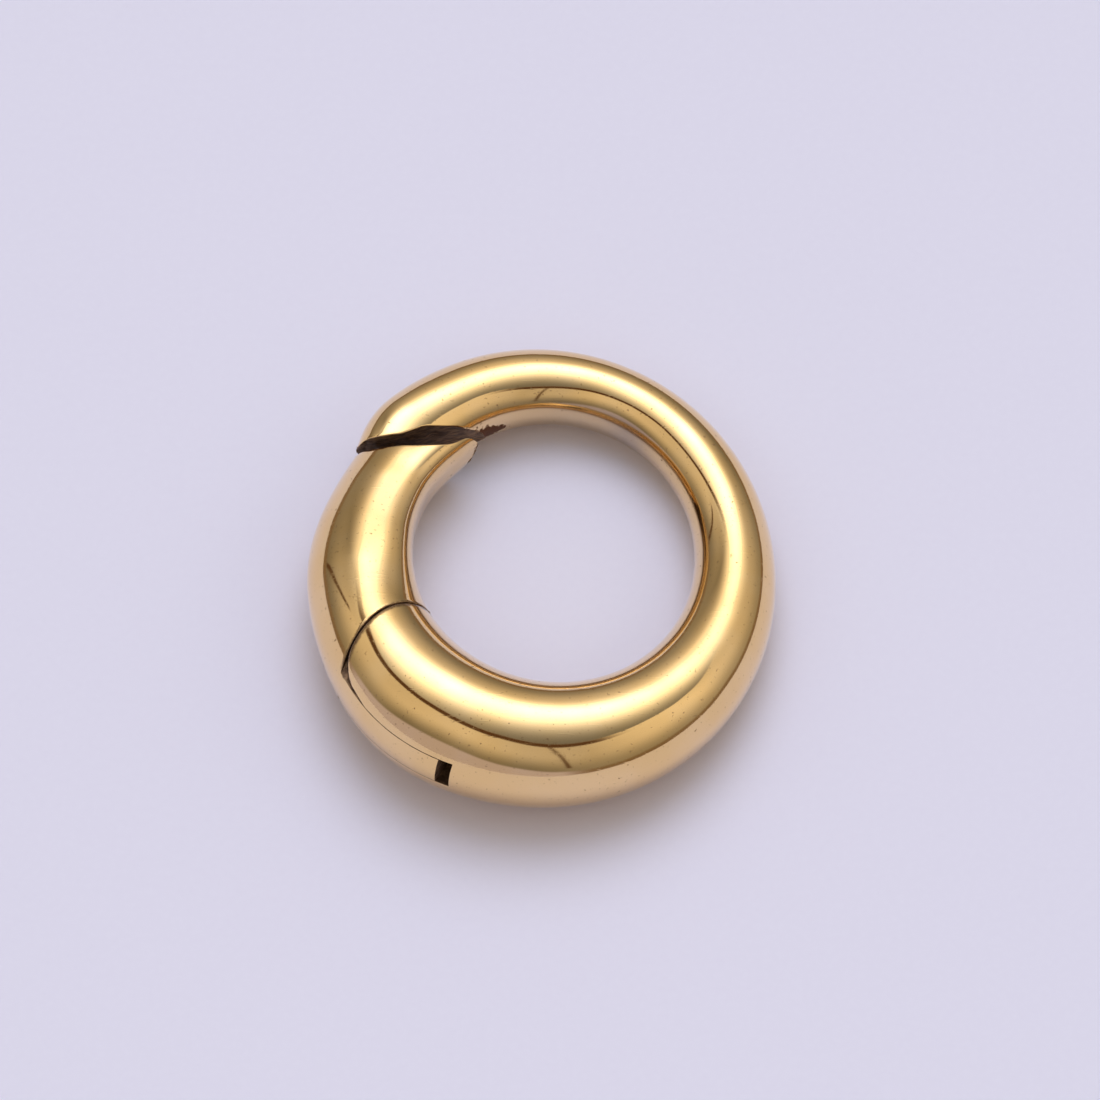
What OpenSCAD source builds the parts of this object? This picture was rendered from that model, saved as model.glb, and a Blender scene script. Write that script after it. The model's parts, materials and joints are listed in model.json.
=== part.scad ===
// Spring gate ring: a graduated ring of round bar with an inward-swinging gate on a hidden pin.
// Millimetres. The ring lies on its side at rest, with +Z up and the gate on the -X side.

/* [Ring] */
// Width across the middle line of the bar
mid_w = 12.0; // [11:0.1:13]
// Length along the middle line of the bar
mid_l = 13.65; // [12.5:0.05:14.5]
// Diameter of the bar at its thinnest place
thin_d = 2.24; // [2:0.02:2.6]
// Diameter of the bar at its thickest place
thick_d = 3.98; // [3.6:0.02:4.2]
// Direction of the thickest place, counted from +X
thick_at = 245; // [235:1:255]
// Extra radius at the two ends of the length, taken from the sides
end_full = 0.06; // [0:0.01:0.1]
// Height of the swell that covers the hinge
swell = 0.26; // [0:0.02:0.4]
// Direction of the middle of the swell
swell_at = 231; // [226:1:238]
// Half width of the swell, in degrees
swell_span = 23; // [16:0.5:26]

/* [Mouth] */
// Place of the diagonal cut's outer end along X
cut_x = -6.0; // [-6.2:0.05:-5.8]
// Place of the diagonal cut's outer end along Y
cut_y = 4.44; // [4.3:0.02:4.5]
// Slant of the fixed end's flat face
cut_slant = 7.5; // [6:0.5:9]
// Slant of the gate's end face
gate_slant = 4.5; // [4:0.5:6]
// Lean of both faces from upright
cut_tilt = 14; // [8:1:16]
// Gap between the two faces at the outer side
cut_gap = 0.24; // [0.2:0.01:0.3]
// How far the fixed part's outer side is flattened at the mouth
end_flat = 0.5; // [0.2:0.05:0.6]
// How far the gate's outer side is flattened towards its free end
gate_flat = 0.42; // [0.2:0.02:0.5]
// Depth of the hollow in the gate's end face
gate_dish = 0.25; // [0.1:0.01:0.3]
// Width of the hollow in the gate's end face
dish_w = 3.9; // [3.5:0.1:4.5]
// How far the inner side of the gate's free end is set into the hole
gate_lean = 0.27; // [0.1:0.01:0.3]
// Further reach of the beak on the inner side of the gate's end
beak = 0.2; // [0:0.02:0.3]

/* [Hinge] */
// Direction of the pin, counted along the middle line
pin_at = 239.5; // [238:0.5:241]
// Diameter of the pin
pin_d = 1.0; // [0.8:0.05:1.1]
// Radius of the cheeks' rounded ends about the pin
cheek_r = 3.6; // [3.5:0.02:3.8]
// Width of the seam between the cheeks and the gate
seam = 0.06; // [0.05:0.01:0.1]
// Height of the slot
slot_h = 1.1; // [1:0.05:1.3]
// Height of the slot's middle over the middle of the bar
slot_rise = 0.25; // [0:0.05:0.3]
// Distance from the pin to the end of the slot
slot_end = 1.28; // [1.2:0.02:1.4]
// Distance from the pin to the flat end of the tongue
tongue_end = 0.81; // [0.7:0.01:0.9]
// Clearance on each face of the tongue
tongue_play = 0.05; // [0.03:0.01:0.08]
// Clearance round the pin in the tongue, and half of it in the cheeks
pin_play = 0.03; // [0.02:0.01:0.06]

/* [Hidden] */
$fn = 64;
GOLD = [0.86, 0.66, 0.30];
STEEL = [0.72, 0.70, 0.66];
// Sides of the bar's section, and the turn from one section to the next
SIDES = 24;
TURN = 4;
// The fixed part and the gate overlap in these ranges of direction, and the cuts part them
BODY_FROM = -156;
BODY_TO = 156;
GATE_FROM = 112;
GATE_TO = 252;
// A cutter reaches this far past the ring, and the smaller ones past the bar
FAR = 9;
PAST_BAR = 6;
// Corners in the hole and outside the ring, which with the pin bound the gate's space
HOLE_CORNERS = [[-1, 5.5], [-1, -1]];
OUTER_CORNERS = [[-FAR, -7], [-FAR, 5.5]];
// The flat at the mouth starts in this direction and has its stated depth after this turn
FLAT_FROM = 134;
FLAT_TURN = 18;
// Three directions in which the ring touches the surface that it lies on
REST_AT = [240, 295, 63];
// The pin stands back from the underside by its foot, and its bore ends under a cover of metal
PIN_FOOT = 0.1;
PIN_COVER = 0.55;

mean_r = (thick_d + thin_d)/4;
swing_r = (thick_d - thin_d)/4;

function ease(t) = let (u = max(0, min(1, t))) u*u*(3 - 2*u);
function swell_h(a) = let (off = (a - swell_at + 900) % 360 - 180) swell*exp(-pow(off/swell_span, 2));

// Radius, outward direction and middle of the bar at a direction round the ring
function bar_r(a) = mean_r + swing_r*cos(a - thick_at) - end_full*cos(2*a) + swell_h(a)/2;
function outward(a) = let (n = [cos(a)/mid_w, sin(a)/mid_l]) n/norm(n);
function middle(a) = [mid_w/2*cos(a), mid_l/2*sin(a)] + outward(a)*swell_h(a)/2;

// The fixed part is flattened on its outer side at the mouth
function body_out(a) = end_flat*pow(max(0, a - FLAT_FROM)/FLAT_TURN, 2);
function body_r(a) = bar_r(a) - body_out(a)/2;
function body_middle(a) = middle(a) - outward(a)*body_out(a)/2;

// So is the gate, and its inner side leans into the hole and ends in a beak
function gate_out(a) = gate_flat*ease((188 - a)/38);
function gate_in(a) = gate_lean*ease((188 - a)/45) + beak*ease((155 - a)/25);
function gate_r(a) = bar_r(a) + (gate_in(a) - gate_out(a))/2;
function gate_middle(a) = middle(a) - outward(a)*(gate_in(a) + gate_out(a))/2;

// A section is [middle, outward direction, radius]
body_sections = [for (a = [BODY_FROM:TURN:BODY_TO]) [body_middle(a), outward(a), body_r(a)]];
gate_sections = [for (a = [GATE_FROM:TURN:GATE_TO]) [gate_middle(a), outward(a), gate_r(a)]];

function section_points(s) = [
    for (j = [0:SIDES - 1]) let (out = s[2]*cos(360*j/SIDES), up = s[2]*sin(360*j/SIDES))
        [s[0].x + s[1].x*out, s[0].y + s[1].y*out, up]
];

// The ring rests on its underside in three places, so its own plane is raised at the thick side
rest_points = [for (a = REST_AT) [middle(a).x, middle(a).y, -bar_r(a)]];
floor_normal = cross(rest_points[1] - rest_points[0], rest_points[2] - rest_points[0]);
floor_up = floor_normal/norm(floor_normal);
tilt = acos(floor_up.z);
tilt_axis = [floor_up.y, -floor_up.x, 0]/norm([floor_up.x, floor_up.y]);
function tilted(p) = p*cos(tilt) + cross(tilt_axis, p)*sin(tilt) + tilt_axis*(tilt_axis*p)*(1 - cos(tilt));

// The origin is under the middle of the whole ring's box, on the floor
all_points = [for (s = concat(body_sections, gate_sections), p = section_points(s)) tilted(p)];
function low(i) = min([for (p = all_points) p[i]]);
function high(i) = max([for (p = all_points) p[i]]);
rest_shift = [-(low(0) + high(0))/2, -(low(1) + high(1))/2, -low(2)];

pin_place = middle(pin_at);
pin_turn = atan2(outward(pin_at).y, outward(pin_at).x);
slot_low = slot_rise - slot_h/2;
slot_high = slot_rise + slot_h/2;
pin_r = pin_d/2;
pin_low = PIN_FOOT - bar_r(pin_at);
pin_high = bar_r(pin_at) - PIN_COVER;

module at_rest() {
    translate(rest_shift) rotate(a = tilt, v = tilt_axis) children();
}

// +X is outwards and +Y is towards the slot's closed end
module at_pin() {
    translate([pin_place.x, pin_place.y, 0]) rotate([0, 0, pin_turn]) children();
}

// +X is along the cut, towards the hole, and +Y is into the fixed part
module at_cut(slant) {
    translate([cut_x, cut_y, 0]) rotate([0, 0, slant]) rotate([cut_tilt, 0, 0]) children();
}

// Round bar through a list of sections
module bar(sections) {
    last = (len(sections) - 1)*SIDES;
    sides = [
        for (i = [0:len(sections) - 2], j = [0:SIDES - 1])
            let (a = i*SIDES + j, b = i*SIDES + (j + 1) % SIDES, c = a + SIDES, d = b + SIDES)
                each [[a, b, d], [a, d, c]]
    ];
    start_cap = [for (j = [SIDES - 1:-1:0]) j];
    end_cap = [for (j = [0:SIDES - 1]) last + j];
    polyhedron([for (s = sections) each section_points(s)], concat(sides, [start_cap, end_cap]));
}

// The space between the fixed end's flat face and the cheeks' rounded ends
module gate_space() {
    difference() {
        translate([0, 0, -FAR])
            linear_extrude(2*FAR)
                polygon(concat(HOLE_CORNERS, [pin_place], OUTER_CORNERS));
        at_cut(cut_slant) translate([-FAR, 0, -2*FAR]) cube([3*FAR, FAR, 4*FAR]);
        at_pin() translate([0, 0, -2*FAR]) cylinder(r = cheek_r, h = 4*FAR);
    }
}

module pin_bore(play) {
    at_pin() translate([0, 0, -FAR]) cylinder(r = pin_r + play, h = FAR + pin_high + play);
}

module ring_body() color(GOLD) at_rest() difference() {
    bar(body_sections);
    gate_space();
    at_pin() translate([-PAST_BAR, -PAST_BAR, slot_low]) cube([2*PAST_BAR, PAST_BAR + slot_end, slot_h]);
    pin_bore(pin_play/2);
}

// What the gate's end face leaves out: the far side of a flat, and a hollow in it
module end_hollow() {
    dish_r = (dish_w*dish_w/4 + gate_dish*gate_dish)/(2*gate_dish);
    at_cut(gate_slant) translate([0, -cut_gap, -FAR]) {
        translate([-PAST_BAR, 0, 0]) cube([2*PAST_BAR + dish_w, PAST_BAR, 2*FAR]);
        translate([dish_w/2, dish_r - gate_dish, 0]) cylinder(r = dish_r, h = 2*FAR, $fn = 96);
    }
}

// What the tongue leaves out at its end: round on the inner side, flat on the outer side
module tongue_tail() {
    at_pin() translate([0, 0, -FAR]) {
        translate([-PAST_BAR, tongue_end, 0]) cube([2*PAST_BAR, PAST_BAR, 2*FAR]);
        difference() {
            translate([-PAST_BAR, 0, 0]) cube([PAST_BAR, PAST_BAR, 2*FAR]);
            translate([0, 0, -FAR/2]) cylinder(r = tongue_end, h = 3*FAR);
        }
    }
}

module gate() color(GOLD) at_rest() difference() {
    bar(gate_sections);
    end_hollow();
    at_pin() translate([0, 0, slot_high - tongue_play]) cylinder(r = cheek_r + seam, h = FAR);
    at_pin() translate([0, 0, slot_low + tongue_play - FAR]) cylinder(r = cheek_r + seam, h = FAR);
    tongue_tail();
    at_pin() translate([0, 0, -FAR]) cylinder(r = pin_r + pin_play, h = 2*FAR);
}

module hinge_pin() color(STEEL) at_rest()
    at_pin() translate([0, 0, pin_low]) cylinder(r = pin_r, h = pin_high - pin_low);

ring_body();
gate();
hinge_pin();
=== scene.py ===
import json
import math

import bmesh
import bpy
from mathutils import Matrix, Vector, noise


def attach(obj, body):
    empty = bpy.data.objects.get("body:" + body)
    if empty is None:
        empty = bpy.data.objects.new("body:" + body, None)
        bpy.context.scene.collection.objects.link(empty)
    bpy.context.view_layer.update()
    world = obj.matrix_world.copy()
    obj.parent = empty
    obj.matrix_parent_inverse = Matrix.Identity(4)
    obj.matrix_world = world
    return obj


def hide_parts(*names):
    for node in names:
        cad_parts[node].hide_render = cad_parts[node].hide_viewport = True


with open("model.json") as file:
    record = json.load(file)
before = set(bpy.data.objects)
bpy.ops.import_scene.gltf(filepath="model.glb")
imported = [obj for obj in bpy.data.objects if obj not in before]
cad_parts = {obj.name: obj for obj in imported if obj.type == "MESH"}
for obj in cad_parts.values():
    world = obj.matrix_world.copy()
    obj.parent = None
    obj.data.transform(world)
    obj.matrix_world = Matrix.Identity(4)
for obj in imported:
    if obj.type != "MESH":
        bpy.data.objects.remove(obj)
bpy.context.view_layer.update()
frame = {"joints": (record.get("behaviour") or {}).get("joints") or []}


# View. A long lens looks at the ring from the front, 60 degrees above the table, and the ring is a little
# left of the picture's middle. Lengths are in millimetres here until a piece is laid in its place.
MM = 0.001
VIEW_ELEVATION = math.radians(60)
VIEW_WIDTH = 35.14
VIEW_CENTRE = Vector((0.272, 0.86, 1.7605))
LENS = 500
SENSOR = 36
NEAREST = 50
FARTHEST = 5000

camera_data = bpy.data.cameras.new("camera")
camera_data.lens = LENS
camera_data.sensor_width = SENSOR
camera_data.clip_start = NEAREST*MM
camera_data.clip_end = FARTHEST*MM
camera = bpy.data.objects.new("camera", camera_data)
to_camera = Vector((0, -math.cos(VIEW_ELEVATION), math.sin(VIEW_ELEVATION)))
camera.location = (VIEW_CENTRE + to_camera*(VIEW_WIDTH*LENS/SENSOR))*MM
camera.rotation_euler = (math.pi/2 - VIEW_ELEVATION, 0, 0)
bpy.context.scene.collection.objects.link(camera)
bpy.context.scene.camera = camera
bpy.context.scene.view_settings.view_transform = "Standard"


# Table. A smooth sheet of pale lavender paper, with a fine grain and a few specks of dust on it. It lies
# flat under the ring and reaches far past the picture's edges.
class Wire:
    """An output of a shader node. Sums, products and the like of wires and numbers add Math nodes."""

    def __init__(self, tree, socket=None):
        self.tree = tree
        self.socket = socket

    def node(self, kind, inputs, output=0, stops=None, **settings):
        """Adds any node: its settings, then its ramp's stops, then the values or wires of its sockets."""
        made = self.tree.nodes.new("ShaderNode" + kind)
        for name, value in settings.items():
            setattr(made, name, value)
        if stops:
            ramp = made.color_ramp.elements
            while len(ramp) < len(stops):
                ramp.new(1)
            for stop, (place, colour) in zip(ramp, stops):
                stop.position = place
                stop.color = (*colour, 1)
        for name, value in inputs.items():
            if isinstance(value, Wire):
                self.tree.links.new(value.socket, made.inputs[name])
            else:
                made.inputs[name].default_value = value
        return Wire(self.tree, made.outputs[output])

    def math(self, operation, *values):
        return self.node("Math", dict(enumerate(values)), operation=operation)

    def __add__(self, other):
        return self.math("ADD", self, other)

    def __radd__(self, other):
        return self.math("ADD", other, self)

    def __sub__(self, other):
        return self.math("SUBTRACT", self, other)

    def __rsub__(self, other):
        return self.math("SUBTRACT", other, self)

    def __mul__(self, other):
        return self.math("MULTIPLY", self, other)

    def __rmul__(self, other):
        return self.math("MULTIPLY", other, self)

    def __truediv__(self, other):
        return self.math("DIVIDE", self, other)

    def __rtruediv__(self, other):
        return self.math("DIVIDE", other, self)

    def __pow__(self, other):
        return self.math("POWER", self, other)

    def __rpow__(self, other):
        return self.math("POWER", other, self)

    def larger(self, other):
        return self.math("MAXIMUM", self, other)

    def parts(self):
        """The three coordinates of a vector."""
        x = self.node("SeparateXYZ", {"Vector": self})
        return [Wire(self.tree, socket) for socket in x.socket.node.outputs]

    def rise(self, start, end):
        """0 below start and 1 above end, with a smooth step between them."""
        return self.node("MapRange", {"Value": self, "From Min": start, "From Max": end},
                         interpolation_type="SMOOTHSTEP")

    def band(self, start, end, soft):
        """1 between start and end, with soft edges outside them."""
        return self.rise(start - soft, start)*(1 - self.rise(end, end + soft))

    def blend(self, low, high):
        """The colour low where this wire is 0 and high where it is 1."""
        low, high = (value if isinstance(value, Wire) else (*value, 1) for value in (low, high))
        return self.node("Mix", {"Factor": self, 6: low, 7: high}, output=2, data_type="RGBA")

    def times(self, colour):
        """A colour made as bright as this wire says."""
        return self.node("VectorMath", {0: colour, "Scale": self}, operation="SCALE")

    def grain(self, size, detail=2):
        """Noise from 0 to 1 with waves of a size in millimetres, on the vector of this wire."""
        return self.node("TexNoise", {"Vector": self, "Scale": 1/(size*MM), "Detail": detail})

    def dots(self, spacing, start, end):
        """Dots about a spacing apart, 1 in each dot's middle. The sizes are shares of the spacing."""
        distance = self.node("TexVoronoi", {"Vector": self, "Scale": 1/(spacing*MM)}, feature="F1")
        return 1 - distance.rise(start, end)

    def relief(self, depth, strength=1):
        """A Bump node's normal, for a height of 1 that is a depth in millimetres."""
        return self.node("Bump", {"Height": self, "Strength": strength, "Distance": depth*MM})


def new_material(name):
    """A material with one Principled shader. Returns it, the shader's sockets and Object coordinates."""
    material = bpy.data.materials.new(name)
    material.use_nodes = True
    place = Wire(material.node_tree).node("TexCoord", {}, output="Object")
    return material, material.node_tree.nodes["Principled BSDF"].inputs, place


def feed(wire, socket):
    wire.tree.links.new(wire.socket, socket)


def add_object(name, bm, *materials):
    """Turns a bmesh into an object of the scene."""
    mesh = bpy.data.meshes.new(name)
    bm.to_mesh(mesh)
    bm.free()
    for material in materials:
        mesh.materials.append(material)
    made = bpy.data.objects.new(name, mesh)
    bpy.context.scene.collection.objects.link(made)
    return made


PAPER = (0.825, 0.82, 0.965)
PAPER_SHADE = (0.80, 0.79, 0.94)
FIBRE_SIZE = 0.25
FIBRE_RELIEF = 0.02
DUST = (0.42, 0.40, 0.46)
DUST_SPACING = 9
DUST_SIZE = (0.006, 0.012)
TABLE_HALF = 2000
paper, shader, place = new_material("lavender_paper")
shader["Roughness"].default_value = 0.95
shader["Specular IOR Level"].default_value = 0.1
fibres = place.grain(FIBRE_SIZE, 6)
speck = place.dots(DUST_SPACING, *DUST_SIZE)
feed(speck.blend(fibres.blend(PAPER_SHADE, PAPER), DUST), shader["Base Color"])
feed(fibres.relief(FIBRE_RELIEF, 0.15), shader["Normal"])
bm = bmesh.new()
bmesh.ops.create_grid(bm, x_segments=1, y_segments=1, size=TABLE_HALF*MM)
table = add_object("table", bm, paper)


# Light. A square soft box hangs cornerwise over the table, brightest towards its back, and its thin brown
# frame shows at the front left. The walls of the light tent are dimmer and warm, with a seam in front and
# one at the left. Below them the paper curls up, pale at the front left and in shade elsewhere.
WHITE = (1, 1, 1)
# Places overhead are tangents of the angle from straight up, and frame and edges are shares of the half box
BOX_MIDDLE = (0.475, 0.18)
BOX_HALF = (0.97, 1.11)
BOX_EDGE = (0.97, 1.01)
GLOW_BASE = 0.15
GLOW_PEAK = 2.7
GLOW_MIDDLE = (0.05, 0.68)
GLOW_ACROSS = 0.585
GLOW_FRONT = 0.56
GLOW_BACK = 0.5
FRAME = (1.01, 1.14, 0.045)
FRAME_BROWN = (0.09, 0.045, 0.02)
FRAME_AT = 225
FRAME_FADE = (-0.4333, 0.1)
# Directions round the tent and heights on its walls are degrees. A seam has its direction, foot and top
WALL_TOPS = (0.87, 0.62, 0.47, 0.76, 0.23, 0.65, 0.61, 0.67, 0.7, 0.54, 0.5, 0.73)
WALL_FEET = (0.37, 0.3, 0.18, 0.25, 0.25, 0.19, 0.3, 0.19, 0.24, 0.2, 0.28, 0.3)
WALL_RISE = 32
WALL_TINT = (1, 0.915, 0.79)
SPILL = 0.6
SPILL_BACK = (0.2, 0.8)
FRONT_SEAM = (286, 16, 60)
LEFT_SEAM = (145, 8, 33)
SEAM_HALF = 0.7
SEAM_FADE = 3
SWEEP_TOP = 6
SWEEP_SOFT = 2
SWEEP_COLOUR = (0.2, 0.145, 0.1)
CURL_AT = 232
CURL_HEIGHT = 17
CURL_HALF = 0.174
CURL_EDGE = (0.03, 0.14)
CURL_COLOUR = (0.46, 0.43, 0.56)
WORLD_STRENGTH = 1.116
PLAIN_BACKGROUND = (0.67, 0.66, 0.79)

world = bpy.data.worlds.new("light_tent")
world.use_nodes = True
background = world.node_tree.nodes["Background"].inputs
start = Wire(world.node_tree)
x, y, z = start.node("TexCoord", {}, output="Generated").parts()
height = z.larger(0.01)
across = x/height
along = y/height
level = (x*x + y*y).larger(1e-6)**0.5
right = x/level
back = y/level
elevation = z.math("ARCSINE", z)*math.degrees(1)
bearing = y.math("ARCTAN2", y, x)/math.tau
turn = bearing.math("FRACT", bearing)


def toward(azimuth):
    """How far a direction is along an azimuth, and how far it is to the left of it."""
    c, s = math.cos(math.radians(azimuth)), math.sin(math.radians(azimuth))
    return right*c + back*s, back*c - right*s


def round_the_tent(values):
    """A brightness that goes evenly from one value to the next, all round the tent."""
    around = [*values, values[0]]
    stops = [(i/len(values), (value,)*3) for i, value in enumerate(around)]
    return turn.node("ValToRGB", {"Fac": turn}, stops=stops).parts()[0]


def seam_line(azimuth, low, high):
    ahead, aside = toward(azimuth)
    half = math.sin(math.radians(SEAM_HALF))
    return aside.band(-half, half, half)*ahead.rise(0, 0.1)*elevation.band(low, high, SEAM_FADE)


box_long = (across + along - BOX_MIDDLE[0])/BOX_HALF[0]
box_wide = (along - across - BOX_MIDDLE[1])/BOX_HALF[1]
reach = (box_long**4 + box_wide**4)**0.25
off_across = (across - GLOW_MIDDLE[0])/GLOW_ACROSS
behind = along - GLOW_MIDDLE[1]
off_along = behind.larger(0)/GLOW_BACK - (0 - behind).larger(0)/GLOW_FRONT
glow = GLOW_PEAK*math.e**(0 - off_across*off_across - off_along*off_along)
curl = math.e**((toward(CURL_AT)[0] - 1)/CURL_HALF)
over_sweep = elevation - SWEEP_TOP - curl*CURL_HEIGHT
feet = round_the_tent(WALL_FEET)
walls = feet + (round_the_tent(WALL_TOPS) - feet)*over_sweep.rise(0, WALL_RISE)
spill = (1 - (1 - glow).larger(0))*back.rise(*SPILL_BACK)*SPILL
walls = walls.node("VectorMath", {0: walls.times(WALL_TINT), 1: spill.times(WHITE)}, operation="ADD")
seams = seam_line(*FRONT_SEAM).larger(seam_line(*LEFT_SEAM))
sweep = curl.rise(*CURL_EDGE).blend(SWEEP_COLOUR, CURL_COLOUR)
tent = over_sweep.rise(-SWEEP_SOFT, SWEEP_SOFT).blend(sweep, seams.blend(walls, FRAME_BROWN))
frame_line = reach.band(*FRAME)*toward(FRAME_AT)[0].rise(*FRAME_FADE)
tent = frame_line.blend(tent, FRAME_BROWN)
lit = reach.rise(*BOX_EDGE).blend((glow + GLOW_BASE).times(WHITE), tent)
seen = start.node("LightPath", {}, output="Is Camera Ray")
feed(seen.blend(lit, PLAIN_BACKGROUND), background["Color"])
background["Strength"].default_value = WORLD_STRENGTH
bpy.context.scene.world = world

# A weak bluish sun behind the tent's cloth cools the shadows on the paper
FILL_STRENGTH = 0.5
FILL_COLOUR = (0.52, 0.6, 1)
FILL_ANGLE = 50
FILL_TURN = (-28, 0, 0)
fill_data = bpy.data.lights.new("fill", "SUN")
fill_data.energy = FILL_STRENGTH
fill_data.color = FILL_COLOUR
fill_data.angle = math.radians(FILL_ANGLE)
fill = bpy.data.objects.new("fill", fill_data)
fill.rotation_euler = [math.radians(angle) for angle in FILL_TURN]
fill.visible_glossy = False
bpy.context.scene.collection.objects.link(fill)


# Ring body. The fixed part of the ring is one brass casting, a round bar that grows from its thin place to
# the hinge. The gate's slot is milled into its thick end, which leaves two cheeks with rounded ends, and a
# slanting cut ends it at the mouth. It is plated gold and polished, and the cuts are left rough and brown.
MID_W = 12.0
MID_L = 13.65
THIN_D = 2.24
THICK_D = 3.98
# Directions round the ring are degrees from +X, and go on past 360 for the body's end at the mouth
THICK_AT = 245
END_FULL = 0.06
# The swell over the hinge, and how far the surface stands back from the solid's everywhere
SWELL = 0.26
SWELL_AT = 231
SWELL_SPAN = 23
SKIN = 0.01
# The mouth. A pair is where a change starts and where it is complete
CUT = Vector((-6.0, 4.44, 0))
CUT_SLANT = 7.5
CUT_TILT = 14
END_FLAT = 0.5
FLAT_FROM = 494
FLAT_TURN = 18
FLAT_TO = 515
END_LEAN = 0.2
END_LEAN_OVER = (476, 502)
LIP = 0.27
LIP_FADES = (1.1, 2.2)
CUT_WAVE = 0.035
CUT_WAVE_LENGTH = 0.5
PIT_DEPTH = 0.05
PIT_SIZES = (0.4, 0.15)
# The cheeks, and the slot between them
PIN_AT = 239.5
CHEEK_R = 3.6
CORNER_LONG = 0.85
CORNER_HIGH = 0.7
SLOT_HIGH = 0.80
SLOT_LOW = -0.30
SLOT_END = 1.28
# The mesh has rows along the bar and columns round it. The slot's edges follow two rows on each side, and
# a cutter meets the bar within a range of directions. The last three values are tolerances
ROWS = 120
HALF = ROWS//2
ROW_TURN = 360/ROWS
TOP_ROW = 8
BOTTOM_ROW = -3
ROWS_HELD = (300, 260)
CHEEK_COLUMNS = 36
BAR_COLUMNS = 236
CHEEK_WITHIN = (196, 228)
SLOT_END_WITHIN = (238, 268)
CUT_WITHIN = (470, 525)
HALVINGS = 34
END_CUTS = 9
EDGE = 0.035
TONGUE_EDGE = 0.008
CHEEK_MARGIN = 0.02
SLOT_MARGIN = 0.1
SHARP = math.radians(35)
TOUCH = 1e-3
SAME_HEIGHT = 1e-4
SAME_PLACE = 1e-5
# The marks on the plating, and painted shade. A shaded stretch has its strength, direction and half width
SHADE_STRETCHES = ((0.5, 75, 40), (0.35, 58, 9))
SHADE_LEAST = 0.1
SHADE_INSIDE = (0.72, 0.86)
STAIN_HALF = 0.15
STAIN_LOW = 0.05
RUST_NARROW_AT = 103
RUST_WIDE_AT = 118
RUST_PAST = 1.3
RUST_HEIGHT = -0.1
RUST_HALF = 0.3
RUST_TIP = 0.3


def cosd(a):
    return math.cos(math.radians(a))


def sind(a):
    return math.sin(math.radians(a))


def ease(value, start=0, end=1):
    """0 at start and 1 at end, with a smooth change between them."""
    u = max(0, min(1, (value - start)/(end - start)))
    return u*u*(3 - 2*u)


def between(low, high, share):
    return low + (high - low)*share


def hump(off, half):
    return math.exp(-(off/half)**2)


def swell_height(a):
    return SWELL*hump((a - SWELL_AT + 180) % 360 - 180, SWELL_SPAN)


def outward(a):
    return Vector((cosd(a)/MID_W, sind(a)/MID_L, 0)).normalized()


def bar_radius(a):
    mean = (THICK_D + THIN_D)/4
    swing = (THICK_D - THIN_D)/4
    return mean + swing*cosd(a - THICK_AT) - END_FULL*cosd(2*a) + swell_height(a)/2 - SKIN


def bar_middle(a):
    return Vector((MID_W/2*cosd(a), MID_L/2*sind(a), 0)) + outward(a)*(swell_height(a)/2)


pin_place = bar_middle(PIN_AT)
pin_out = outward(PIN_AT)
pin_along = Vector((-pin_out.y, pin_out.x, 0))
hinge = frame["joints"][0]
laid = Vector((0, 0, 1)).rotation_difference(-Vector(hinge["axis"])).to_matrix()
hinge_height = Vector((0, 0, (SLOT_HIGH + SLOT_LOW)/2))
ring_centre = Vector(hinge["pos_m"]) - laid @ (pin_place + hinge_height)*MM
to_row = Matrix.Translation(ring_centre) @ laid.to_4x4() @ Matrix.Scale(MM, 4)


def row_angle(row, radius, top, bottom, hold):
    """A row's angle round the bar. With hold 1, two rows on each side lie at the heights top and bottom."""
    up = between(TOP_ROW*ROW_TURN, math.degrees(math.asin(top/radius)), hold)
    down = between(BOTTOM_ROW*ROW_TURN, math.degrees(math.asin(bottom/radius)), hold)
    stops = [(BOTTOM_ROW, down), (TOP_ROW, up), (HALF - TOP_ROW, 180 - up),
             (HALF - BOTTOM_ROW, 180 - down), (ROWS + BOTTOM_ROW, 360 + down)]
    row = row - ROWS if row >= ROWS + BOTTOM_ROW else row
    for (first, low), (last, high) in zip(stops, stops[1:]):
        if first <= row <= last:
            return between(low, high, (row - first)/(last - first))


def body_point(a, row):
    """A point of the fixed part's surface, at a direction round the ring and a row round the bar."""
    flat = END_FLAT*(max(0, min(a, FLAT_TO) - FLAT_FROM)/FLAT_TURN)**2
    r = bar_radius(a) - flat/2
    j = row_angle(row, r, SLOT_HIGH, SLOT_LOW, ease(a, *ROWS_HELD))
    lean = END_LEAN*r*ease(a, *END_LEAN_OVER)*max(0, sind(j))**2
    return bar_middle(a) + outward(a)*(r*cosd(j) - flat/2 + lean) + Vector((0, 0, r*sind(j)))


def past_cheek(p):
    """How far a point is beyond the cheeks' rounded ends. The upper outer corner is rounded off."""
    arm = p - pin_place
    height = p.z - SLOT_HIGH
    reach = CHEEK_R
    if arm.dot(pin_out) > 0 and -TOUCH < height < CORNER_HIGH:
        reach -= CORNER_LONG*(1 - math.sqrt(1 - (1 - max(height, 0)/CORNER_HIGH)**2))
    return arm.xy.length - reach


def past_slot_end(p):
    return SLOT_END - (p - pin_place).dot(pin_along)


def cut_normal(slant):
    """The direction square to a face at the mouth, into the fixed part."""
    return Vector((-sind(slant)*cosd(CUT_TILT), cosd(slant)*cosd(CUT_TILT), sind(CUT_TILT)))


def wave(p, length):
    """Smooth noise from -1 to 1."""
    return noise.noise(p/length)


def past_cut(p):
    """How far a point is into the fixed part's end face, a wavy one with a lip on its outer side."""
    arm = p - CUT
    lip = LIP*(1 - ease(arm.x, *LIP_FADES))
    return arm.dot(cut_normal(CUT_SLANT)) + lip - CUT_WAVE*wave(p, CUT_WAVE_LENGTH)


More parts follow.
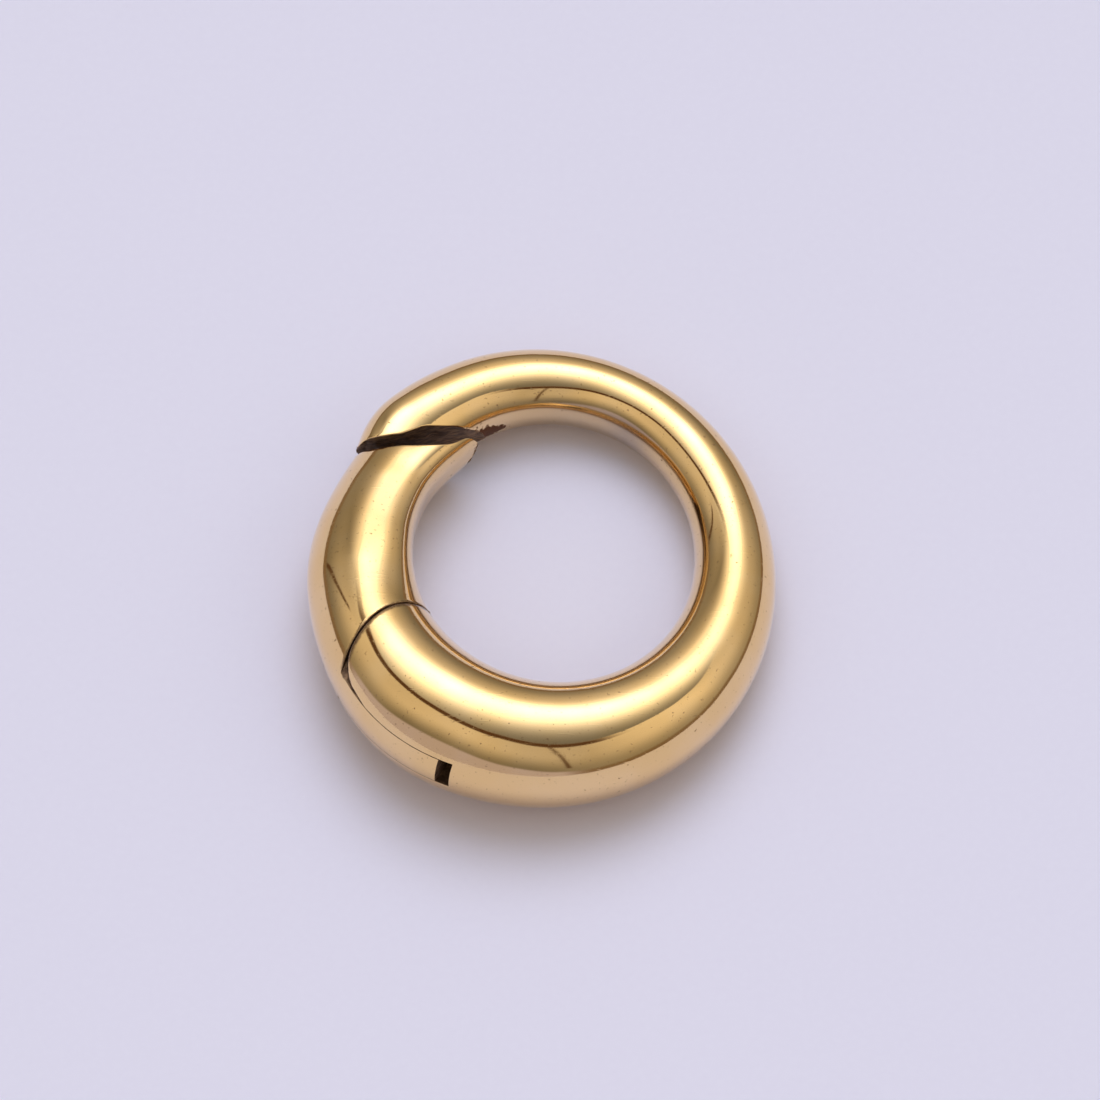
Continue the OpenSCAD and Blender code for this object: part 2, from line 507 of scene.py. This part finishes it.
def meet(surface, row, beyond, low, high):
    """The direction between low and high where a row of a surface comes to beyond = 0."""
    for _ in range(HALVINGS):
        middle = (low + high)/2
        if beyond(surface(middle, row)) > 0:
            low = middle
        else:
            high = middle
    return low


def pipe(stations, surface):
    """A pipe whose rows follow a surface. A station is a column, its cutter and the range where they meet.

    Returns the pipe and its vertices by column and row.
    """
    bm = bmesh.new()
    bmesh.ops.create_circle(bm, segments=ROWS, radius=1)
    last_column = stations[-1][0]
    bmesh.ops.spin(bm, geom=bm.verts[:] + bm.edges[:], axis=(0, 0, 1), dvec=(0, 0, 1), angle=0,
                   steps=last_column)
    grid = {}
    for v in bm.verts:
        row = round(math.degrees(math.atan2(v.co.y, v.co.x))/ROW_TURN) % ROWS
        grid[round(v.co.z), row] = v
    for row in range(ROWS):
        places = [(column, meet(surface, row, *cutter)) for column, *cutter in stations]
        for (first, low), (last, high) in zip(places, places[1:]):
            for column in range(first, last + 1):
                share = (column - first)/(last - first)
                grid[column, row].co = surface(between(low, high, share), row)
    return bm, grid


def edges_along(vertices):
    pairs = zip(vertices, vertices[1:])
    return [next(e for e in a.link_edges if e.other_vert(a) == b) for a, b in pairs]


def open_edges(bm):
    return [e for e in bm.edges if e.is_boundary]


def rows_of(first, last):
    return [row % ROWS for row in range(first, last + 1)]


def faces_between(grid, first, last, rows):
    """The faces from one column to another on some rows, in the same order each time."""
    corners = [grid[c, r] for c in range(first, last + 1) for r in rows if grid[c, r].is_valid]
    within = set(corners)
    near = dict.fromkeys(f for v in corners for f in v.link_faces)
    return [f for f in near if within.issuperset(f.verts)]


def flatten(faces, height):
    for v in {v for f in faces for v in f.verts}:
        v.co.z = height


def rough(faces):
    """Marks faces as cut and left rough."""
    for f in faces:
        f.material_index = 1


def merge_same(bm):
    bmesh.ops.remove_doubles(bm, verts=bm.verts, dist=SAME_PLACE)


def close_slot(bm, grid, mouth_column):
    """Closes the holes at the hinge with rough faces, and leaves the one at the mouth open."""
    mouth = {grid[mouth_column, r] for r in range(ROWS)}
    holes = [e for e in open_edges(bm) if e.verts[0] not in mouth]
    rough(bmesh.ops.holes_fill(bm, edges=holes, sides=0)["faces"])


def close_end(bm, grid, column, normal):
    """Closes the pipe's end with a rough face, of upright strips from each top row to the row under it."""
    upper = edges_along([grid[column, r] for r in range(1, HALF)])
    lower = edges_along([grid[column, ROWS - r] for r in range(1, HALF)])
    strips = bmesh.ops.bridge_loops(bm, edges=upper + lower)
    corners = bmesh.ops.holes_fill(bm, edges=open_edges(bm), sides=3)
    rough(strips["faces"] + corners["faces"])
    uprights = [e for e in strips["edges"] if e not in upper and e not in lower]
    cut = bmesh.ops.subdivide_edges(bm, edges=uprights, cuts=END_CUTS, use_grid_fill=True)
    for v in cut["geom_inner"]:
        if isinstance(v, bmesh.types.BMVert):
            v.co += normal*(PIT_DEPTH*sum(wave(v.co, size) for size in PIT_SIZES))


def beside_tongue(e):
    """Whether an edge runs along the tongue, which fits the slot so closely that its corners stay sharp."""
    p = (e.verts[0].co + e.verts[1].co)/2
    in_cheeks = (p - pin_place).xy.length < CHEEK_R - CHEEK_MARGIN
    return in_cheeks and SLOT_LOW - SLOT_MARGIN < p.z < SLOT_HIGH + SLOT_MARGIN


def direction(p):
    """The direction round the ring in which a point lies."""
    return math.degrees(math.atan2(p.y/MID_L, p.x/MID_W)) % 360


def inward(p):
    """How far a point is from the bar's middle line, towards the hole."""
    a = direction(p)
    return (bar_middle(a) - p).dot(outward(a))


def dull_and_shade_at(p):
    """How much painted shade and roughness the inner wall gets, most of all at the far side, with a grey
    patch there.
    """
    a = direction(p)
    stretches = sum(strength*hump(a - at, half) for strength, at, half in SHADE_STRETCHES)
    return ease(inward(p)/bar_radius(a), *SHADE_INSIDE)*max(SHADE_LEAST, stretches)


def stain_at(p):
    """How near a point over the slot is to the seam of the upper cheek, where the polish turns brown."""
    arm = p - pin_place
    beside_cheek = p.z > SLOT_HIGH - STAIN_LOW and arm.dot(pin_along) < 0
    return hump(arm.xy.length - CHEEK_R, STAIN_HALF) if beside_cheek else 0


def rust_at(p):
    """A brown strip on the inner wall, where the beak rubs. It narrows away from the mouth."""
    along = (direction(p) - RUST_NARROW_AT)/(RUST_WIDE_AT - RUST_NARROW_AT)
    if inward(p) <= 0 or along >= RUST_PAST:
        return 0
    return ease(along, 0, 0.5)*hump(p.z - RUST_HEIGHT, RUST_HALF*(RUST_TIP + max(0, along)))


MARKS = {"dull_and_shade": dull_and_shade_at, "stain": stain_at, "rust": rust_at}


def finish_metal(bm):
    """Rounds the sharp corners a little, stores the marks and lays the piece in its place on the table."""
    bmesh.ops.recalc_face_normals(bm, faces=bm.faces)
    for beside, offset in ((True, TONGUE_EDGE), (False, EDGE)):
        corners = [e for e in bm.edges if e.is_convex and e.calc_face_angle(0) > SHARP]
        bmesh.ops.bevel(bm, geom=[e for e in corners if beside_tongue(e) == beside], offset=offset,
                        offset_type="OFFSET", segments=3, profile=0.5, affect="EDGES", material=-1,
                        clamp_overlap=False)
    for name, amount in MARKS.items():
        layer = bm.verts.layers.float.new(name)
        for v in bm.verts:
            v[layer] = amount(v.co)
    for f in bm.faces:
        f.smooth = True
    for e in bm.edges:
        e.smooth = e.calc_face_angle(0) < SHARP
    bm.transform(to_row)


def gilded_piece(name, node, body, bm):
    """Makes the object of a gilded piece, which stands for a node and rides on a body."""
    made = add_object(name, bm, gold, raw_brass)
    made.modifiers.new("even_shading", "WEIGHTED_NORMAL").keep_sharp = True
    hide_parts(node)
    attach(made, body)


TOP_ROWS = rows_of(TOP_ROW, HALF - TOP_ROW)
BOTTOM_ROWS = rows_of(HALF - BOTTOM_ROW, ROWS + BOTTOM_ROW)
OUTER_ROWS = rows_of(BOTTOM_ROW, TOP_ROW)
INNER_ROWS = rows_of(HALF - TOP_ROW, HALF - BOTTOM_ROW)

mouth_column = CHEEK_COLUMNS + BAR_COLUMNS
bm, grid = pipe([(0, past_cheek, *CHEEK_WITHIN), (CHEEK_COLUMNS, past_slot_end, *SLOT_END_WITHIN),
                 (mouth_column, past_cut, *CUT_WITHIN)], body_point)
# The slot opens on both sides, and each cheek gets a flat face over or under it
for rows in (OUTER_ROWS, INNER_ROWS):
    bmesh.ops.delete(bm, geom=faces_between(grid, 0, CHEEK_COLUMNS, rows), context="FACES")
for rows, height in ((TOP_ROWS, SLOT_HIGH), (BOTTOM_ROWS, SLOT_LOW)):
    copied = bmesh.ops.duplicate(bm, geom=faces_between(grid, 0, CHEEK_COLUMNS, rows))
    flat = [f for f in copied["geom"] if isinstance(f, bmesh.types.BMFace)]
    bmesh.ops.reverse_faces(bm, faces=flat)
    ends = [grid[0, r] for r in rows]
    flat_ends = [copied["vert_map"][v] for v in ends]
    walls = bmesh.ops.bridge_loops(bm, edges=edges_along(ends) + edges_along(flat_ends))
    flatten(flat, height)
    rough(flat + walls["faces"])
merge_same(bm)
close_slot(bm, grid, mouth_column)
close_end(bm, grid, mouth_column, cut_normal(CUT_SLANT))
finish_metal(bm)

# Sizes in the finish are millimetres, and an edge is where a mask starts and where it is full
GOLD = (0.86, 0.575, 0.24)
GOLD_PALE = (0.88, 0.61, 0.29)
# The grey gold of the painted shade on the inner wall, where it reflects the shaded floor in the hole
GOLD_IN_SHADE = (0.305, 0.245, 0.2)
TARNISH = (0.17, 0.085, 0.035)
RUST = (0.13, 0.05, 0.02)
FINE = 0.12
CLOUD_SIZE = 2.2
CLOUD_EDGE = (0.35, 0.65)
SPOT_SPACING = 0.9
SPOT_SIZE = (0.02, 0.05)
SPOT_AREAS = 1.1
SPOT_AREA_EDGE = (0.48, 0.6)
SPOT_STRENGTH = 0.8
STAIN_EDGE = (0.25, 0.75)
STAIN_STRENGTH = 0.85
RUST_EDGE = (0.15, 0.4)
LACQUER = 0.8
POLISH = 0.06
ROUGH_CLOUD = 0.02
ROUGH_DULL = 0.14
ROUGH_STAIN = 0.25
ROUGH_RUST = 0.4
WAVE_SIZE = 1.7
WAVE_HEIGHT = 0.012
SCRATCH_TURN = (0.5, 0.3, 0.9)
SCRATCH_SHAPE = (1, 16, 9)
SCRATCH_SIZE = 1.5
SCRATCH_EDGE = (0.62, 0.7)
SCRATCH_HEIGHT = 0.0004
gold, shader, place = new_material("polished_gold")
dull_and_shade, stain, rust = (place.node("Attribute", {}, output="Fac", attribute_name=name) for name in MARKS)
fine = place.grain(FINE, 4)
clouds = place.grain(CLOUD_SIZE, 3).rise(*CLOUD_EDGE)
spots = place.dots(SPOT_SPACING, *SPOT_SIZE)*place.grain(SPOT_AREAS).rise(*SPOT_AREA_EDGE)
stained = (stain*(0.4 + fine)).rise(*STAIN_EDGE)*STAIN_STRENGTH
rusty = (rust + fine*1.2 - 0.6).rise(*RUST_EDGE)
# Painted shade: the inner wall turns a darker grey gold where it reflects the shaded floor in the hole
colour = dull_and_shade.blend(clouds.blend(GOLD, GOLD_PALE), GOLD_IN_SHADE)
colour = stained.larger(spots*SPOT_STRENGTH).blend(colour, TARNISH)
feed(rusty.blend(colour, RUST), shader["Base Color"])
shader["Metallic"].default_value = 1
roughness = POLISH + clouds*ROUGH_CLOUD + dull_and_shade*ROUGH_DULL + stained*ROUGH_STAIN + rusty*ROUGH_RUST
feed(roughness, shader["Roughness"])
feed(LACQUER*(1 - rusty), shader["Coat Weight"])
shader["Coat Roughness"].default_value = 0.08
stroke = place.node("Mapping", {"Vector": place, "Rotation": SCRATCH_TURN, "Scale": SCRATCH_SHAPE})
scratches = stroke.grain(SCRATCH_SIZE, 3).rise(*SCRATCH_EDGE)*SCRATCH_HEIGHT
height = scratches + place.grain(WAVE_SIZE, 1)*WAVE_HEIGHT
feed(height.relief(1), shader["Normal"])

RAW = (0.34, 0.21, 0.12)
RAW_DARK = (0.12, 0.065, 0.035)
STREAK_SHAPE = (1, 1, 4)
STREAK_SIZE = 0.35
STREAK_EDGE = (0.4, 0.62)
STREAK_RELIEF = 0.05
raw_brass, shader, place = new_material("raw_brass")
streak = place.node("Mapping", {"Vector": place, "Scale": STREAK_SHAPE}).grain(STREAK_SIZE, 5)
feed(streak.rise(*STREAK_EDGE).blend(RAW_DARK, RAW), shader["Base Color"])
shader["Metallic"].default_value = 0.6
feed(0.35 + streak*0.3, shader["Roughness"])
feed(streak.relief(STREAK_RELIEF, 0.6), shader["Normal"])
gilded_piece("ring_body_polished", "ring_body", "ring", bm)


# Gate. The moving part is a bent length of the same bar, cast with a flat tongue that fills the slot
# and turns on the pin. Its free end leans in from the ring's line and ends in a dished face with a beak.
GATE_FLAT = 0.42
GATE_FLAT_OVER = (188, 150)
GATE_LEAN = 0.27
GATE_LEAN_OVER = (188, 143)
BEAK = 0.2
BEAK_OVER = (155, 130)
SECTION_LEAN = 0.14
SHOULDER = 0.12
BENT_OVER = (206, 176)
# The end face, whose distances run from its outer end, and the surface's drop towards it
GATE_SLANT = 4.5
GATE_BACK = 0.4
END_DROP = 0.19
DROP_REACH = 1.8
CORNER_BACK = 0.17
CORNER_REACH = 1.4
GATE_DISH = 0.25
DISH_W = 3.9
DISH_R = (DISH_W*DISH_W/4 + GATE_DISH*GATE_DISH)/(2*GATE_DISH)
UNDERCUT = 0.45
UNDERCUT_ALONG = (2.4, 3.6)
UNDERCUT_DOWN = (0.35, -0.75)
BURR = 0.2
BURR_AT = 3.4
BURR_HALF = 0.4
BURR_UP = (0.2, 0.6)
# The tongue, and the seam round the cheeks
SEAM = 0.06
TONGUE_HIGH = SLOT_HIGH - 0.02
TONGUE_LOW = SLOT_LOW + 0.015
TONGUE_END = 0.81
TAIL_TURN = 10
GATE_ROWS_HELD = (165, 190)
GATE_COLUMNS = 60
TONGUE_COLUMNS = 36
GATE_FACE_WITHIN = (122, 178)
SEAM_WITHIN = (190, 228)
TAIL_WITHIN = (224, 262)


def gate_point(a, row):
    """A point of the gate's surface. Its section leans in, with a full shoulder on its inner side."""
    flat = GATE_FLAT*ease(a, *GATE_FLAT_OVER)
    lean = GATE_LEAN*ease(a, *GATE_LEAN_OVER) + BEAK*ease(a, *BEAK_OVER)
    r = bar_radius(a) + (lean - flat)/2
    j = row_angle(row, r, TONGUE_HIGH, TONGUE_LOW, ease(a, *GATE_ROWS_HELD))
    bent = ease(a, *BENT_OVER) if j % 360 < 180 else 0
    shoulder = SHOULDER*bent*sind(2*j)**2 if cosd(j) < 0 else 0
    full = r*(1 + shoulder)
    across = full*cosd(j) - SECTION_LEAN*r*bent*sind(j)**2 - (lean + flat)/2
    p = bar_middle(a) + outward(a)*across + Vector((0, 0, full*sind(j)))
    near_end = max(0, 1 + (p - CUT).dot(cut_normal(GATE_SLANT))/DROP_REACH)
    return p - Vector((0, 0, END_DROP*near_end**2*max(0, sind(j))))


def past_gate_face(p):
    """How far a point is beyond the gate's end face, a round hollow with a burr and an undercut beak."""
    arm = p - CUT
    along = arm.x*cosd(GATE_SLANT) + arm.y*sind(GATE_SLANT)
    above = arm.dot(cut_normal(GATE_SLANT)) + GATE_BACK
    if 0 < along < DISH_W:
        above += math.sqrt(DISH_R**2 - (along - DISH_W/2)**2) - (DISH_R - GATE_DISH)
    corner = CORNER_BACK*(1 - ease(along, 0, CORNER_REACH))
    burr = BURR*hump(along - BURR_AT, BURR_HALF)*ease(p.z, *BURR_UP)
    undercut = UNDERCUT*ease(along, *UNDERCUT_ALONG)*ease(p.z, *UNDERCUT_DOWN)
    return above + corner - burr + undercut


def past_gate_seam(p):
    return (p - pin_place).xy.length - CHEEK_R - SEAM


def past_tail(p):
    """How far a point is short of the tongue's flat end. Its round end is added on the inner side."""
    arm = p - pin_place
    return (TONGUE_END if arm.dot(pin_out) > 0 else 0) - arm.dot(pin_along)


tail_column = GATE_COLUMNS + TONGUE_COLUMNS
bm, grid = pipe([(0, past_gate_face, *GATE_FACE_WITHIN), (GATE_COLUMNS, past_gate_seam, *SEAM_WITHIN),
                 (tail_column, past_tail, *TAIL_WITHIN)], gate_point)
tail_arms = [pin_along*cosd(t) - pin_out*sind(t) for t in range(0, 90 + TAIL_TURN, TAIL_TURN)]
tail = [pin_place + arm*TONGUE_END for arm in tail_arms]
# Over and under the tongue a wall goes down or up from the seam, and a flat face closes its rim
rims = []
for rows, height in ((TOP_ROWS, TONGUE_HIGH), (BOTTOM_ROWS[::-1], TONGUE_LOW)):
    bmesh.ops.delete(bm, geom=faces_between(grid, GATE_COLUMNS, tail_column, rows), context="FACES")
    arc = edges_along([grid[GATE_COLUMNS, r] for r in rows])
    wall = bmesh.ops.extrude_edge_only(bm, edges=arc)["geom"]
    for v in wall:
        if isinstance(v, bmesh.types.BMVert):
            v.co.z = height
    rough(f for f in wall if isinstance(f, bmesh.types.BMFace))
    round_tail = [bm.verts.new((p.x, p.y, height)) for p in tail]
    rims.append([grid[tail_column, rows[0]], *round_tail, grid[tail_column, rows[-1]]])
merge_same(bm)
for rim in rims:
    for a, b in zip(rim, rim[1:]):
        bm.edges.new((a, b))
    level_edges = [e for e in bm.edges if (e.is_boundary or e.is_wire)
                   and all(abs(v.co.z - rim[1].co.z) < SAME_HEIGHT for v in e.verts)]
    rough(bmesh.ops.edgeloop_fill(bm, edges=level_edges)["faces"])
upper_tail, lower_tail = (edges_along(rim[1:-1]) for rim in rims)
rough(bmesh.ops.bridge_loops(bm, edges=upper_tail + lower_tail)["faces"])
close_slot(bm, grid, 0)
close_end(bm, grid, 0, cut_normal(GATE_SLANT))
finish_metal(bm)
gilded_piece("gate_polished", "gate", "gate", bm)


# Hinge pin. A plain length of drawn steel wire, 1 mm thick. It is pressed into a blind bore from the ring's
# underside, and the metal that is closed over it hides it, so the tongue turns on it out of sight.
STEEL = (0.72, 0.70, 0.66)
STEEL_DARK = (0.56, 0.54, 0.51)
DRAWN_SHAPE = (1, 1, 0.06)
DRAWN_SIZE = 0.04
DRAWN_RELIEF = 0.004
steel, shader, place = new_material("drawn_steel")
drawn = place.node("Mapping", {"Vector": place, "Scale": DRAWN_SHAPE}).grain(DRAWN_SIZE, 3)
feed(drawn.blend(STEEL_DARK, STEEL), shader["Base Color"])
shader["Metallic"].default_value = 1
feed(0.25 + drawn*0.2, shader["Roughness"])
feed(drawn.relief(DRAWN_RELIEF, 0.3), shader["Normal"])
bpy.data.objects["hinge_pin"].material_slots[0].material = steel
